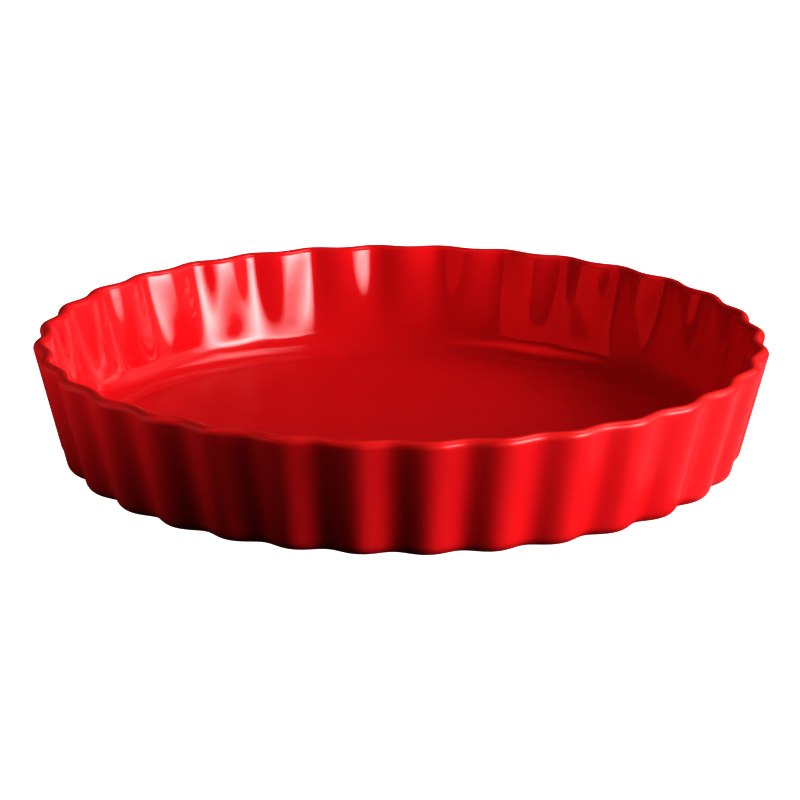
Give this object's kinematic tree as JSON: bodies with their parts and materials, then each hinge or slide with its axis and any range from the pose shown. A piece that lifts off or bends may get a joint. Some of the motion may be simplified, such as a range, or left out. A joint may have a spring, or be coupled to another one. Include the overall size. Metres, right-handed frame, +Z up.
{
  "type": "fluted flan dish",
  "caption": "Round deep baking dish in red glazed stoneware with an upright fluted wall, a rounded rim, a flat floor and a bare foot ring.",
  "frame": {"origin": "centre of the foot ring's bearing face, where the dish stands on a table", "axes": "+Z up along the dish's axis of revolution, a flute crest on -Y, which is the side that faces the viewer"},
  "size_m": [0.32, 0.32, 0.0545],
  "materials": {
    "red_glaze": "high-gloss glaze",
    "clay": "bare fired clay"
  },
  "bodies": {
    "root": {"clay_body": "clay", "glaze_coat": "red_glaze", "underside_glaze": "red_glaze"}
  },
  "joints": []
}
